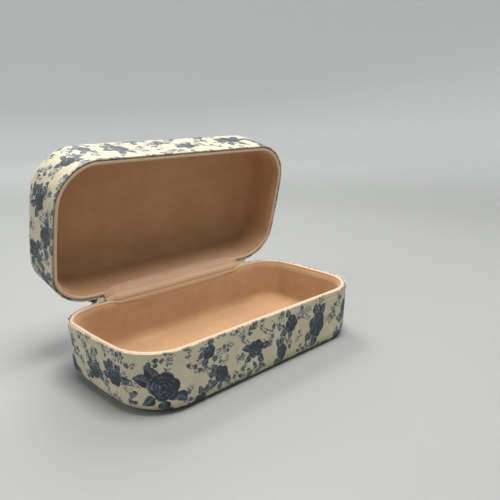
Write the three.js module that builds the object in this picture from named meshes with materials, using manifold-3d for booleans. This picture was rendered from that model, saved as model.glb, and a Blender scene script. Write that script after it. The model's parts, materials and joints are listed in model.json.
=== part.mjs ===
import * as THREE from 'three';
import { LoftGeometry } from 'three/addons/geometries/LoftGeometry.js';
import { mergeVertices } from 'three/addons/utils/BufferGeometryUtils.js';
import Module from 'manifold-3d';

// A hard clamshell eyeglasses case, standing open. Millimetres, +Z up, +X along the hinge,
// +Y towards the hinge. The origin is the centre of the flat underside.
//
// Both halves are built closed, round the hinge axis: y and z run from the axis, and a height is
// a distance from the parting plane, down into the base (side -1) or up into the lid (side 1).

// Case
const LENGTH = 160;
const DEPTH = 80.8;
const BASE_HEIGHT = 31.8;
const LID_HEIGHT = 34.4;
const LID_CROWN = 3;
const OPEN_ANGLE = THREE.MathUtils.degToRad(77);
const RIM_GAP = 0.3;
const RIM_HEIGHT = RIM_GAP / 2;
const BEYOND_RIM = -1;

// Plan outline: elliptical corners between bowed ends and straight long sides
const CORNER_X = 22.8;
const CORNER_FRONT = 24.1;
const CORNER_BACK = 18.4;
const END_BOW = 1.9;
const CORNER_STEPS = 7;
const END_STEPS = 3;

// Rounded edges round the underside and round the lid's top, as the pull of ends, sides and height
const BASE_EDGE = new THREE.Vector3(9, 4.8, 7.3);
const LID_EDGE = new THREE.Vector3(11.3, 11.3, 11.3);
const BASE_END_TAPER = 2.2;
const LID_END_TAPER = 0.4;
const EDGE_STEPS = 4;
const CROWN_RINGS = [0.7, 0.35];

// Wall, from the outside in
const GAP = 0.3;
const COVER_THICKNESS = 0.9;
const SHELL_THICKNESS = 0.45;
const LINING_THICKNESS = 2.15;
const RIM_LIP = 0.8;
const SHELL_DEPTH = COVER_THICKNESS + GAP;
const LINING_DEPTH = SHELL_DEPTH + SHELL_THICKNESS + GAP;
const INSIDE_DEPTH = LINING_DEPTH + LINING_THICKNESS;

// Hinge
const AXIS_BEHIND = 1.3;
const BACK = -AXIS_BEHIND;
const AXIS_Y = DEPTH / 2 + AXIS_BEHIND;
const AXIS_Z = BASE_HEIGHT + RIM_HEIGHT;
const HINGE_HALF = 50;
const FIT = 0.15;
const PIN_RADIUS = 0.55;
const BORE_RADIUS = 0.8;
const KNUCKLE_RADIUS = 1.35;
const LEAF_THICKNESS = 0.5;
const LEAF_HEIGHT = 12;
const LEAF_FACE = BACK - SHELL_DEPTH - SHELL_THICKNESS - GAP;
const LOWER_KNUCKLES = [[-50, -36], [-9, 9], [36, 50]];
const UPPER_KNUCKLES = [[-35.7, -21], [21, 35.7]];
const ROUND_STEPS = 20;

// Rivets, through the leaf and the shell
const RIVET_X = [-42, -15, 15, 42];
const RIVET_HEIGHT = 7.5;
const RIVET_RADIUS = 1;
const RIVET_HEAD_RADIUS = 1.9;
const RIVET_HEAD_THICKNESS = 0.45;
const RIVET_CROWN = 0.6;
const RIVET_SHOULDER = 0.4;
const RIVET_STEPS = 12;

// Torsion springs on the pin
const SPRING_X = 15;
const SPRING_WIDTH = 8;
const SPRING_TURNS = 5;
const SPRING_RADIUS = 1;
const WIRE_RADIUS = 0.2;
const WIRE_SIDES = 6;
const SPRING_LEG = 2.2;
const SPRING_STEPS = 62;

// Strips that cross the hinge: printed outside, velour inside
const SPINE_HALF = 52;
const SPINE_THICKNESS = 0.7;
const SPINE_RADIUS = 2;
const SPINE_FLAP = 3;
const SPINE_TURN = 0.5;
const BRIDGE_THICKNESS = 0.8;
const BRIDGE_FLAP = 0.9;
const BRIDGE_SAG = 0.7;
const ARC_STEPS = 8;

const HALVES = {
  lower: {
    side: -1,
    height: BASE_HEIGHT + RIM_HEIGHT,
    edge: BASE_EDGE,
    taper: BASE_END_TAPER,
    crown: 0,
    knuckles: LOWER_KNUCKLES,
  },
  upper: {
    side: 1,
    height: LID_HEIGHT + RIM_HEIGHT,
    edge: LID_EDGE,
    taper: LID_END_TAPER,
    crown: LID_CROWN,
    knuckles: UPPER_KNUCKLES,
  },
};

const MATERIALS = {
  cover: { color: 0xc9c3b0, roughness: 0.6, metalness: 0 },
  shell: { color: 0x8d9092, roughness: 0.45, metalness: 0.9 },
  lining: { color: 0xb98e6c, roughness: 0.95, metalness: 0 },
  hinge: { color: 0xa7a9ab, roughness: 0.35, metalness: 1 },
  spring: { color: 0x6f7376, roughness: 0.3, metalness: 1 },
  rivet: { color: 0xbabcbd, roughness: 0.4, metalness: 1 },
};

const wasm = await Module();
wasm.setup();

// ---------------------------------------------------------------- solids

function signedVolume(positions, triangles) {
  const a = new THREE.Vector3();
  const b = new THREE.Vector3();
  const c = new THREE.Vector3();
  let volume = 0;
  for (let i = 0; i < triangles.length; i += 3) {
    a.fromArray(positions, 3 * triangles[i]);
    b.fromArray(positions, 3 * triangles[i + 1]);
    c.fromArray(positions, 3 * triangles[i + 2]);
    volume += a.dot(b.cross(c)) / 6;
  }
  return volume;
}

// A closed solid from a three.js geometry: vertices shared, no empty triangles, faces outwards.
function solid(geometry) {
  const bare = new THREE.BufferGeometry();
  bare.setAttribute('position', geometry.attributes.position);
  bare.setIndex(geometry.index);
  const merged = mergeVertices(bare);
  const positions = merged.attributes.position.array;
  const triangles = [];
  for (let i = 0; i < merged.index.count; i += 3) {
    const [a, b, c] = [0, 1, 2].map((k) => merged.index.getX(i + k));
    if (a !== b && b !== c && c !== a) triangles.push(a, b, c);
  }
  if (signedVolume(positions, triangles) < 0) triangles.reverse();
  const data = {
    numProp: 3,
    vertProperties: Float32Array.from(positions),
    triVerts: Uint32Array.from(triangles),
  };
  return new wasm.Manifold(new wasm.Mesh(data));
}

function geometryOf(shape) {
  const mesh = shape.getMesh();
  const geometry = new THREE.BufferGeometry();
  geometry.setAttribute('position', new THREE.BufferAttribute(mesh.vertProperties, 3));
  geometry.setIndex(new THREE.BufferAttribute(mesh.triVerts, 1));
  geometry.computeVertexNormals();
  return geometry;
}

// A box between two x, two y and two heights of one half.
function block(side, [x0, x1], [y0, y1], [h0, h1]) {
  const box = new THREE.BoxGeometry(x1 - x0, y1 - y0, h1 - h0);
  box.translate((x0 + x1) / 2, (y0 + y1) / 2, side * (h0 + h1) / 2);
  return solid(box);
}

// A round bar along the hinge axis.
function bar(radius, x0, x1) {
  const cylinder = new THREE.CylinderGeometry(radius, radius, x1 - x0, ROUND_STEPS);
  cylinder.rotateZ(Math.PI / 2);
  cylinder.translate((x0 + x1) / 2, 0, 0);
  return cylinder;
}

// ---------------------------------------------------------------- bowls

// The plan outline, pulled in by inset all round, counterclockwise from the right end.
function outline(inset) {
  const a = LENGTH / 2 - inset;
  const b = DEPTH / 2 - inset;
  const rx = CORNER_X - inset;
  const points = [];
  const corner = (sx, sy, radius, from, to) => {
    const ry = radius - inset;
    for (let i = 0; i <= CORNER_STEPS; i++) {
      const t = THREE.MathUtils.lerp(from, to, i / CORNER_STEPS);
      const x = a - rx + rx * Math.cos(t);
      const y = b - ry + ry * Math.sin(t);
      points.push(new THREE.Vector2(sx * x, sy * y));
    }
  };
  const end = (sx, from, to) => {
    for (let i = 1; i < END_STEPS; i++) {
      points.push(new THREE.Vector2(sx * a, THREE.MathUtils.lerp(from, to, i / END_STEPS)));
    }
  };
  const back = b - CORNER_BACK + inset;
  const front = CORNER_FRONT - inset - b;
  corner(1, 1, CORNER_BACK, 0, Math.PI / 2);
  corner(-1, 1, CORNER_BACK, Math.PI / 2, 0);
  end(-1, back, front);
  corner(-1, -1, CORNER_FRONT, 0, Math.PI / 2);
  corner(1, -1, CORNER_FRONT, Math.PI / 2, 0);
  end(1, front, back);
  for (const point of points) point.x *= 1 + (END_BOW / a) * (1 - (point.y / b) ** 2);
  return points;
}

// The space inside one half's outside surface pulled in by inset, from height rim to the closed end.
function bowl(half, inset, rim) {
  const { side, height, edge, taper, crown } = half;
  const a = LENGTH / 2 - inset;
  const b = DEPTH / 2 - inset;
  const top = height - inset;
  const flat = outline(inset);
  const ring = (pullX, pullY, h) => {
    const sx = 1 - (pullX + taper * Math.max(h, 0) / height) / a;
    const sy = 1 - pullY / b;
    return flat.map((p) => new THREE.Vector3(p.x * sx, p.y * sy - AXIS_Y, side * h));
  };
  const wallEnd = top - (edge.z - inset);
  const sections = [ring(0, 0, rim), ring(0, 0, wallEnd)];
  for (let i = 1; i <= EDGE_STEPS; i++) {
    const t = (i / EDGE_STEPS) * Math.PI / 2;
    const pull = 1 - Math.cos(t);
    sections.push(ring((edge.x - inset) * pull, (edge.y - inset) * pull,
      wallEnd + (edge.z - inset) * Math.sin(t)));
  }
  if (crown > 0) {
    const across = a - (edge.x - inset);
    const along = b - (edge.y - inset);
    for (const s of CROWN_RINGS) {
      sections.push(ring(a - across * s, b - along * s, top + crown * (1 - s * s)));
    }
  }
  if (side < 0) sections.reverse();
  return solid(new LoftGeometry(sections, { capStart: true, capEnd: true }));
}

function rivetProfile(extra) {
  const head = LEAF_FACE - LEAF_THICKNESS - FIT;
  const tail = BACK - SHELL_DEPTH;
  const neck = tail - SHELL_THICKNESS;
  const flare = RIVET_RADIUS + SHELL_THICKNESS;
  return [
    [0, head - RIVET_HEAD_THICKNESS - extra],
    [RIVET_CROWN * RIVET_HEAD_RADIUS + extra, head - RIVET_HEAD_THICKNESS - extra],
    [RIVET_HEAD_RADIUS + extra, head - RIVET_SHOULDER * RIVET_HEAD_THICKNESS],
    [RIVET_HEAD_RADIUS + extra, head],
    [RIVET_RADIUS + extra, head],
    [RIVET_RADIUS + extra, neck],
    [flare + extra, tail],
    [0, tail],
  ].map(([r, y]) => new THREE.Vector2(r, y));
}

// A countersunk rivet, or with extra the clearance that it needs, lying along Y.
function rivetGeometry(half, x, extra = 0) {
  const lathe = new THREE.LatheGeometry(rivetProfile(extra), RIVET_STEPS);
  lathe.translate(x, 0, half.side * RIVET_HEIGHT);
  return lathe;
}

function withoutRivets(half, shape) {
  return RIVET_X.reduce((left, x) => left.subtract(solid(rivetGeometry(half, x, FIT))), shape);
}

function cover(half) {
  const wall = bowl(half, 0, RIM_HEIGHT).subtract(bowl(half, COVER_THICKNESS, BEYOND_RIM));
  const reach = SPINE_HALF + GAP;
  const relief = block(half.side, [-reach, reach], [BACK - COVER_THICKNESS - FIT, 0],
    [BEYOND_RIM, SPINE_FLAP + GAP]);
  return wall.subtract(relief);
}

function shell(half) {
  const rim = RIM_HEIGHT + RIM_LIP + GAP;
  const inside = bowl(half, SHELL_DEPTH + SHELL_THICKNESS, BEYOND_RIM);
  return withoutRivets(half, bowl(half, SHELL_DEPTH, rim).subtract(inside));
}

// The lining: a padded tray whose lip lies over the shell's rim, with pockets for the hinge leaf.
function lining(half) {
  const tray = bowl(half, LINING_DEPTH, RIM_HEIGHT);
  const slab = block(half.side, [-LENGTH, LENGTH], [-2 * AXIS_Y, 0], [0, RIM_HEIGHT + RIM_LIP]);
  const lip = bowl(half, SHELL_DEPTH, RIM_HEIGHT).intersect(slab);
  const reach = HINGE_HALF + GAP;
  const pocketFloor = LEAF_FACE - LEAF_THICKNESS - GAP;
  const leafPocket = block(half.side, [-reach, reach], [pocketFloor, 0], [BEYOND_RIM, LEAF_HEIGHT + GAP]);
  const bridgeRelief = block(half.side, [-reach, reach], [BACK - INSIDE_DEPTH - GAP, 0],
    [BEYOND_RIM, BRIDGE_FLAP + GAP]);
  const padded = tray.add(lip).subtract(bowl(half, INSIDE_DEPTH, BEYOND_RIM));
  return withoutRivets(half, padded.subtract(leafPocket).subtract(bridgeRelief));
}

// ---------------------------------------------------------------- hinge

// A leaf: a plate down the inside of the shell, a flange over its rim, and knuckles round the pin.
function leaf(half) {
  const { side } = half;
  const inner = LEAF_FACE - LEAF_THICKNESS;
  const flangeEnd = -KNUCKLE_RADIUS - GAP;
  const flange = [RIM_HEIGHT, RIM_HEIGHT + LEAF_THICKNESS];
  let plate = block(side, [-HINGE_HALF, HINGE_HALF], [inner, LEAF_FACE], [RIM_HEIGHT, LEAF_HEIGHT]);
  plate = plate.add(block(side, [-HINGE_HALF, HINGE_HALF], [inner, flangeEnd], flange));
  for (const [x0, x1] of half.knuckles) {
    plate = plate.add(block(side, [x0, x1], [inner, -PIN_RADIUS], flange));
    plate = plate.add(solid(bar(KNUCKLE_RADIUS, x0, x1)));
  }
  plate = plate.subtract(solid(bar(BORE_RADIUS, BEYOND_RIM - HINGE_HALF, HINGE_HALF - BEYOND_RIM)));
  return withoutRivets(half, plate);
}

// Turns a point of the closed lid, in the plane across the hinge, to where it stands open.
function opened(y, z) {
  return new THREE.Vector2(y, z).rotateAround(new THREE.Vector2(), -OPEN_ANGLE);
}

// A leg under the base's leaf, turns round the pin, and a leg over the opened lid's leaf.
class SpringCurve extends THREE.Curve {
  constructor(x0, width) {
    super();
    this.start = new THREE.Vector3(x0, 0, 0);
    this.width = width;
    this.angle = 2 * Math.PI * SPRING_TURNS + Math.PI - OPEN_ANGLE;
    this.coil = this.angle * SPRING_RADIUS;
    this.total = this.coil + 2 * SPRING_LEG;
  }

  getPoint(t, target = new THREE.Vector3()) {
    const along = t * this.total - SPRING_LEG;
    const turned = THREE.MathUtils.clamp(along, 0, this.coil);
    const straight = along - turned;
    const angle = turned / SPRING_RADIUS - Math.PI / 2;
    target.set(
      this.width * turned / this.coil,
      SPRING_RADIUS * Math.cos(angle) - straight * Math.sin(angle),
      SPRING_RADIUS * Math.sin(angle) + straight * Math.cos(angle),
    );
    return target.add(this.start);
  }
}

function springGeometry(centre) {
  const wire = new THREE.Shape();
  for (let i = 0; i < WIRE_SIDES; i++) {
    const angle = 2 * Math.PI * i / WIRE_SIDES;
    const point = [WIRE_RADIUS * Math.cos(angle), WIRE_RADIUS * Math.sin(angle)];
    if (i === 0) wire.moveTo(...point);
    else wire.lineTo(...point);
  }
  wire.closePath();
  const extrudePath = new SpringCurve(centre - SPRING_WIDTH / 2, SPRING_WIDTH);
  return new THREE.ExtrudeGeometry(wire, { steps: SPRING_STEPS, extrudePath });
}

// A strip of even thickness that follows a path across the hinge and runs along it.
function stripGeometry(path, thickness, half) {
  const left = [];
  const right = [];
  path.forEach((point, i) => {
    const before = path[Math.max(i - 1, 0)];
    const after = path[Math.min(i + 1, path.length - 1)];
    const normal = after.clone().sub(before).normalize().rotateAround(new THREE.Vector2(), Math.PI / 2);
    left.push(point.clone().addScaledVector(normal, thickness / 2));
    right.unshift(point.clone().addScaledVector(normal, -thickness / 2));
  });
  const profile = new THREE.Shape([...left, ...right]);
  const strip = new THREE.ExtrudeGeometry(profile, { depth: 2 * half, bevelEnabled: false });
  strip.translate(0, 0, -half);
  strip.applyMatrix4(new THREE.Matrix4().makeBasis(
    new THREE.Vector3(0, 1, 0), new THREE.Vector3(0, 0, 1), new THREE.Vector3(1, 0, 0)));
  return strip;
}

// Outside: from the base's cover round the barrel to the opened lid's cover.
function spinePath() {
  const y = BACK - COVER_THICKNESS + SPINE_THICKNESS / 2;
  const flap = [[y, SPINE_FLAP], [y, SPINE_RADIUS + SPINE_TURN], [y + SPINE_TURN, SPINE_RADIUS]];
  const path = flap.map(([a, h]) => new THREE.Vector2(a, -h));
  for (let i = 0; i <= ARC_STEPS; i++) {
    const angle = THREE.MathUtils.lerp(-Math.PI / 2, Math.PI / 2 - OPEN_ANGLE, i / ARC_STEPS);
    path.push(new THREE.Vector2(SPINE_RADIUS * Math.cos(angle), SPINE_RADIUS * Math.sin(angle)));
  }
  for (const [a, h] of flap.reverse()) path.push(opened(a, h));
  return path;
}

// Inside: from the top of the base's lining to the edge of the opened lid's lining.
function bridgePath() {
  const radius = -(BACK - INSIDE_DEPTH + BRIDGE_THICKNESS);
  const path = [new THREE.Vector2(-radius, -BRIDGE_FLAP)];
  for (let i = 0; i <= ARC_STEPS; i++) {
    const t = i / ARC_STEPS;
    const sag = radius - BRIDGE_SAG * Math.sin(Math.PI * t) ** 2;
    path.push(opened(-sag, 0).rotateAround(new THREE.Vector2(), OPEN_ANGLE * (1 - t)));
  }
  path.push(opened(-radius, BRIDGE_FLAP));
  return path;
}

// ---------------------------------------------------------------- assembly

function piece(name, geometry, finish) {
  const mesh = new THREE.Mesh(geometry, new THREE.MeshStandardMaterial(MATERIALS[finish]));
  mesh.name = name;
  return mesh;
}

function halfGroup(name, half) {
  const group = new THREE.Group();
  group.add(piece(`${name}_cover`, geometryOf(cover(half)), 'cover'));
  group.add(piece(`${name}_shell`, geometryOf(shell(half)), 'shell'));
  group.add(piece(`${name}_lining`, geometryOf(lining(half)), 'lining'));
  group.add(piece(`${name}_hinge_leaf`, geometryOf(leaf(half)), 'hinge'));
  RIVET_X.forEach((x, i) => {
    const rivet = geometryOf(solid(rivetGeometry(half, x)));
    group.add(piece(`${name}_rivet_${i + 1}`, rivet, 'rivet'));
  });
  group.position.set(0, AXIS_Y, AXIS_Z);
  return group;
}

const base = halfGroup('base', HALVES.lower);
base.add(piece('hinge_pin', bar(PIN_RADIUS, -HINGE_HALF, HINGE_HALF), 'hinge'));
base.add(piece('hinge_spring_left', springGeometry(-SPRING_X), 'spring'));
base.add(piece('hinge_spring_right', springGeometry(SPRING_X), 'spring'));
base.add(piece('spine_strip', stripGeometry(spinePath(), SPINE_THICKNESS, SPINE_HALF), 'cover'));
base.add(piece('lining_bridge', stripGeometry(bridgePath(), BRIDGE_THICKNESS, HINGE_HALF), 'lining'));

const lid = halfGroup('lid', HALVES.upper);
lid.rotation.x = -OPEN_ANGLE;

const glassesCase = new THREE.Group();
glassesCase.add(base, lid);

export default glassesCase;
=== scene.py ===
import itertools
import json
import math

import bpy
import numpy as np
from mathutils import Matrix, Vector


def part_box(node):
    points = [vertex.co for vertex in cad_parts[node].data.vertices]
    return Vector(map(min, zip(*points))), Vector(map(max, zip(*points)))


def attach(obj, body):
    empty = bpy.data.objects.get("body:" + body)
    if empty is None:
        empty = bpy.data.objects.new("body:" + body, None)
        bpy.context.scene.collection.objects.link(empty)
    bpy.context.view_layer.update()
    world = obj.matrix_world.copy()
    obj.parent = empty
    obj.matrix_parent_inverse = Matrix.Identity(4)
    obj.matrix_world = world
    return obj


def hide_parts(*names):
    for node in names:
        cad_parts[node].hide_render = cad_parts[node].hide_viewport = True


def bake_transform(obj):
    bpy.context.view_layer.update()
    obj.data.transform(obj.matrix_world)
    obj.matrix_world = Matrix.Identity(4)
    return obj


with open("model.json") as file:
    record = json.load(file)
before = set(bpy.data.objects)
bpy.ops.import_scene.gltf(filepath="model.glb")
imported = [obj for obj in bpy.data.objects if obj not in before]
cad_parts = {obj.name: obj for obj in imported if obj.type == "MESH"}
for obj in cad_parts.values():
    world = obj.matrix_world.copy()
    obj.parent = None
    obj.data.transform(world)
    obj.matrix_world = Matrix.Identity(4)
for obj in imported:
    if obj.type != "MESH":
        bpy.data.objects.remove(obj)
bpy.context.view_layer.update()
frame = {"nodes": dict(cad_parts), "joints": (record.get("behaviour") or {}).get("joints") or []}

# A hard clamshell eyeglasses case, standing open, in printed canvas leatherette with a velour
# lining. Shapes are worked out in millimetres round the hinge axis, with both halves closed:
# y runs from the axis, and a height is a distance from the parting plane.
JOINT = frame["joints"][0]
AXIS_Y, AXIS_Z = (1000 * v for v in JOINT["pos_m"][1:])
OPEN_ANGLE = math.radians(max(abs(v) for v in JOINT["range_deg"]))
BASE_LOW, BASE_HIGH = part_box("base_cover")
BASE_HEIGHT = AXIS_Z
LID_HEIGHT = 34.55
DEPTH = 1000 * (BASE_HIGH.y - BASE_LOW.y)
AXIS_BEHIND = AXIS_Y - DEPTH / 2
LENGTH = 160.0
END_BOW = 1000 * BASE_HIGH.x - LENGTH / 2

# The plan's elliptical corners: reach along the length, then across the front and the back
CORNER_X = 22.8
CORNER_FRONT = 24.1
CORNER_BACK = 18.4
CORNER_STEPS = 60

# The wall: the rim's height over the parting plane, the cover's thickness, and how far in from
# the outside the lining starts and ends
RIM = 0.15
COVER = 0.9
LINING_OUT = 1.95
LINING_IN = 4.1

# Half lengths along the hinge: the hinge and the velour over it, the printed spine, the gussets
HINGE_HALF = 50.0
SPINE_HALF = 52.0
GUSSET_END = 60.0
STRIP_END = HINGE_HALF + 0.6

HALVES = {
    "base": {"side": -1, "height": BASE_HEIGHT, "edge": (9.0, 4.8, 7.3), "taper": 2.2, "crown": 0.0},
    "lid": {"side": 1, "height": LID_HEIGHT, "edge": (11.3, 11.3, 11.3), "taper": 0.4, "crown": 3.0},
}
COLUMN = 0.5
LINING_STEP = 0.8


# ------------------------------------------------------------------ shape helpers


def smooth(a, b, x):
    """0 at a, 1 at b, and an S-curve between them."""
    t = np.clip((x - a) / (b - a), 0, 1)
    return t * t * (3 - 2 * t)


def raw_outline(inset):
    """The plan outline pulled in by inset, before its ends are bowed."""
    a, b, rx = LENGTH / 2 - inset, DEPTH / 2 - inset, CORNER_X - inset
    t = np.linspace(0, math.pi / 2, CORNER_STEPS + 1)
    parts = []
    for sx, sy, radius, turn in (
        (1, -1, CORNER_FRONT, t[::-1]),
        (1, 1, CORNER_BACK, t),
        (-1, 1, CORNER_BACK, t[::-1]),
        (-1, -1, CORNER_FRONT, t),
    ):
        ry = radius - inset
        x, y = a - rx + rx * np.cos(turn), b - ry + ry * np.sin(turn)
        parts.append(np.stack([sx * x, sy * y], 1))
    p = np.concatenate(parts)
    middle = np.array([[0.0, p[0, 1]]])
    return np.concatenate([middle, p, middle])


class Outline:
    """The plan outline in even steps, counterclockwise from the middle of the front."""

    def __init__(self, step):
        p = raw_outline(0.0)
        p[:, 0] = self.bow(p, 0.0)
        along = np.r_[0, np.cumsum(np.hypot(*np.diff(p, axis=0).T))]
        self.length = along[-1]
        self.count = 4 * round(self.length / step / 4)
        self.u = np.arange(self.count) * self.length / self.count
        self.index = np.interp(self.u, along, np.arange(len(p)))

    @staticmethod
    def bow(p, inset):
        a, b = LENGTH / 2 - inset, DEPTH / 2 - inset
        return p[:, 0] * (1 + (END_BOW / a) * (1 - (p[:, 1] / b) ** 2))

    def at(self, inset):
        p = raw_outline(inset)
        n = np.arange(len(p))
        q = np.stack([np.interp(self.index, n, p[:, k]) for k in (0, 1)], 1)
        q[:, 0] = self.bow(q, inset)
        return q


def ring(half, line, inset, v, grow=0.0):
    """One ring of a half's surface pulled in by inset. v is 0 to 1 down the wall, to 2 round the
    edge and to 3 over the closed end. grow makes the edge rounder than the outside's."""
    a, b = LENGTH / 2 - inset, DEPTH / 2 - inset
    top = half["height"] - inset
    ex, ey, ez = (e - inset + grow for e in half["edge"])
    wall_end = top - ez
    pull_x = pull_y = 0.0
    if v <= 1:
        h = RIM + (wall_end - RIM) * v
    elif v <= 2:
        t = (v - 1) * math.pi / 2
        pull_x, pull_y = ex * (1 - math.cos(t)), ey * (1 - math.cos(t))
        h = wall_end + ez * math.sin(t)
    else:
        s = 3 - v
        pull_x, pull_y = a - (a - ex) * s, b - (b - ey) * s
        h = top + half["crown"] * (1 - s * s)
    p = line.at(inset)
    sx = 1 - (pull_x + half["taper"] * max(h, 0) / half["height"] * min(1, 3 - v)) / a
    sy = 1 - pull_y / b
    return np.stack([p[:, 0] * sx, p[:, 1] * sy - AXIS_Y, np.full(len(p), h)], 1)


def placed(half, p):
    """Closed coordinates to metres in the row frame, with the lid open."""
    x, y, z = p[..., 0], p[..., 1], half["side"] * p[..., 2]
    if half["side"] > 0:
        c, s = math.cos(OPEN_ANGLE), math.sin(OPEN_ANGLE)
        y, z = y * c + z * s, -y * s + z * c
    return np.stack([x, y + AXIS_Y, z + AXIS_Z], -1) / 1000


def fill_attribute(mesh, name, values):
    kind = "FLOAT" if values.ndim == 1 else "FLOAT_VECTOR"
    attribute = mesh.attributes.new(name, kind, "POINT")
    field = "value" if values.ndim == 1 else "vector"
    attribute.data.foreach_set(field, values.astype(np.float32).ravel())


def make_mesh(name, points, faces, material, attributes=None):
    """A smooth-shaded mesh object, with values for its points' named attributes."""
    mesh = bpy.data.meshes.new(name)
    mesh.from_pydata(points.tolist(), [], [list(f) for f in faces])
    for key, values in (attributes or {}).items():
        fill_attribute(mesh, key, values)
    mesh.materials.append(material)
    mesh.polygons.foreach_set("use_smooth", np.ones(len(mesh.polygons), bool))
    mesh.update()
    piece = bpy.data.objects.new(name, mesh)
    bpy.context.scene.collection.objects.link(piece)
    return piece


def ring_faces(count, rings, flip):
    """Quads between rings of count points each, closed round."""
    i = np.arange(count)
    j = (i + 1) % count
    quads = [
        np.stack([r * count + i, r * count + j, (r + 1) * count + j, (r + 1) * count + i], 1)
        for r in range(rings - 1)
    ]
    quads = np.concatenate(quads)
    return quads[:, ::-1] if flip else quads


def closed_body(name, half, rings, poles, material, attributes):
    """A closed body from rings that run from one closed end, round the rim, to the other."""
    rings = np.array(rings)
    rows, count = rings.shape[:2]
    points = np.concatenate([rings.reshape(-1, 3), np.array(poles)])
    flip = half["side"] > 0
    quads = ring_faces(count, rows, flip).tolist()
    i = np.arange(count)
    j = (i + 1) % count
    first, last = rows * count, rows * count + 1
    fans = np.concatenate([
        np.stack([np.full(count, first), j, i], 1),
        np.stack([np.full(count, last), (rows - 1) * count + i, (rows - 1) * count + j], 1),
    ])
    if flip:
        fans = fans[:, ::-1]
    return make_mesh(name, placed(half, points), quads + fans.tolist(), material, attributes)


def ripple(p, scale, seed, waves=6):
    """A smooth wander between -1 and 1 over points, for soft unevenness."""
    rng = np.random.default_rng(seed)
    total = np.zeros(len(p))
    for _ in range(waves):
        k = rng.normal(size=3) / scale
        total += np.sin(p @ k + rng.uniform(0, 2 * math.pi))
    return total / waves


# ------------------------------------------------------------------ print


class Print:
    """A floral print painted on points: how much ink there is, and how light it is. A shape's
    edge is soft over SOFT; it reaches round a bend as far as FACING, stretched by no more than
    MOST_STRETCH. Points are looked up in cells of size CELL."""

    SOFT = 0.55
    CELL = 6.0
    FACING = -0.3
    MOST_STRETCH = 1.6

    def __init__(self, points, normals):
        self.points, self.normals = points, normals
        self.ink = np.zeros(len(points))
        self.tone = np.full(len(points), 0.5)
        cells = np.floor(points / self.CELL).astype(int)
        order = np.lexsort(cells.T)
        turns = np.flatnonzero(np.any(np.diff(cells[order], axis=0), axis=1)) + 1
        self.cells = {tuple(cells[group[0]]): group for group in np.split(order, turns)}

    def around(self, centre, reach):
        """The points within reach of centre."""
        low, high = (np.floor((centre + d) / self.CELL).astype(int) for d in (-reach, reach))
        keys = itertools.product(*(range(a, b + 1) for a, b in zip(low, high)))
        found = [self.cells[key] for key in keys if key in self.cells]
        near = np.concatenate(found)
        return near[((self.points[near] - centre) ** 2).sum(1) < reach * reach]

    def local(self, at, spin, reach):
        """The points near one point, flattened round it and turned by spin."""
        centre, normal = self.points[at], self.normals[at]
        near = self.around(centre, reach)
        near = near[self.normals[near] @ normal > self.FACING]
        d = self.points[near] - centre
        side = np.cross(normal, [0.0, 0.0, 1.0] if abs(normal[2]) < 0.8 else [0.0, 1.0, 0.0])
        side /= np.linalg.norm(side)
        up = np.cross(normal, side)
        flat = np.stack([d @ side, d @ up], 1)
        length = np.linalg.norm(flat, axis=1)
        stretch = np.linalg.norm(d, axis=1) / np.maximum(length, 1e-6)
        flat *= np.minimum(stretch, self.MOST_STRETCH)[:, None]
        c, s = math.cos(spin), math.sin(spin)
        return near, flat @ np.array([[c, -s], [s, c]])

    def lay(self, near, edge, tone, halo):
        """Lays one shape over what is there, with an unprinted line round it, halo wide.
        edge is the distance in from the shape's outline."""
        keep = np.clip(0.5 + (-edge - halo) / self.SOFT, 0, 1)
        cover = np.clip(0.5 + edge / self.SOFT, 0, 1)
        self.ink[near] = np.maximum(self.ink[near] * keep, cover)
        self.tone[near] = np.where(edge > -halo, tone, self.tone[near])


# A rose's rings of petals, from the outside in: radius, number of petals, depth of the notches
PETALS = ((1.0, 6, 0.20), (0.74, 5, 0.17), (0.50, 5, 0.15), (0.30, 3, 0.12))


def rose(canvas, at, size, spin, rng):
    """A full rose, seen a little from one side: each petal runs from dark to light."""
    near, p = canvas.local(at, spin, size * 1.35)
    lean = rng.uniform(0.05, 0.22)
    for k, (radius, lobes, depth) in enumerate(PETALS):
        q = (p - [0, lean * size * (1 - radius)]) * [1, 1 + lean]
        r, angle = np.hypot(*q.T), np.arctan2(q[:, 1], q[:, 0])
        phase = rng.uniform(0, 2 * math.pi)
        wave = np.abs(np.cos(lobes / 2 * (angle - phase)))
        wobble = 0.04 * np.sin(3 * angle + phase) + 0.03 * np.sin(5 * angle - 2 * phase)
        bound = size * radius * (1 - depth * (1 - wave ** 0.7) + wobble)
        edge = bound - r
        inner = PETALS[k + 1][0] * size if k + 1 < len(PETALS) else 0.0
        rise = np.clip((r - inner) / max(size * radius - inner, 0.1), 0, 1)
        strokes = 0.07 * np.sin(angle * (26 if k < 2 else 15) + 3 * np.sin(r * 1.3 + phase))
        petal = 0.78 * rise ** 1.5 * (0.45 + 0.55 * smooth(0.1, 0.8, wave))
        shade = 0.2 * np.cos(angle - 2.2)
        tone = petal + (strokes + shade) * rise
        gap = smooth(0.35, 0.05, wave) * smooth(0.35, 0.75, rise) * (size > 5) * (k == 0)
        rim_line = smooth(0.8, 0.3, edge) * (0.22 if k else 0.08)
        halo = -0.15 if k else 0.12
        canvas.lay(near, edge - 0.5 * gap, np.clip(tone + rim_line, 0, 1), halo)


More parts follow.
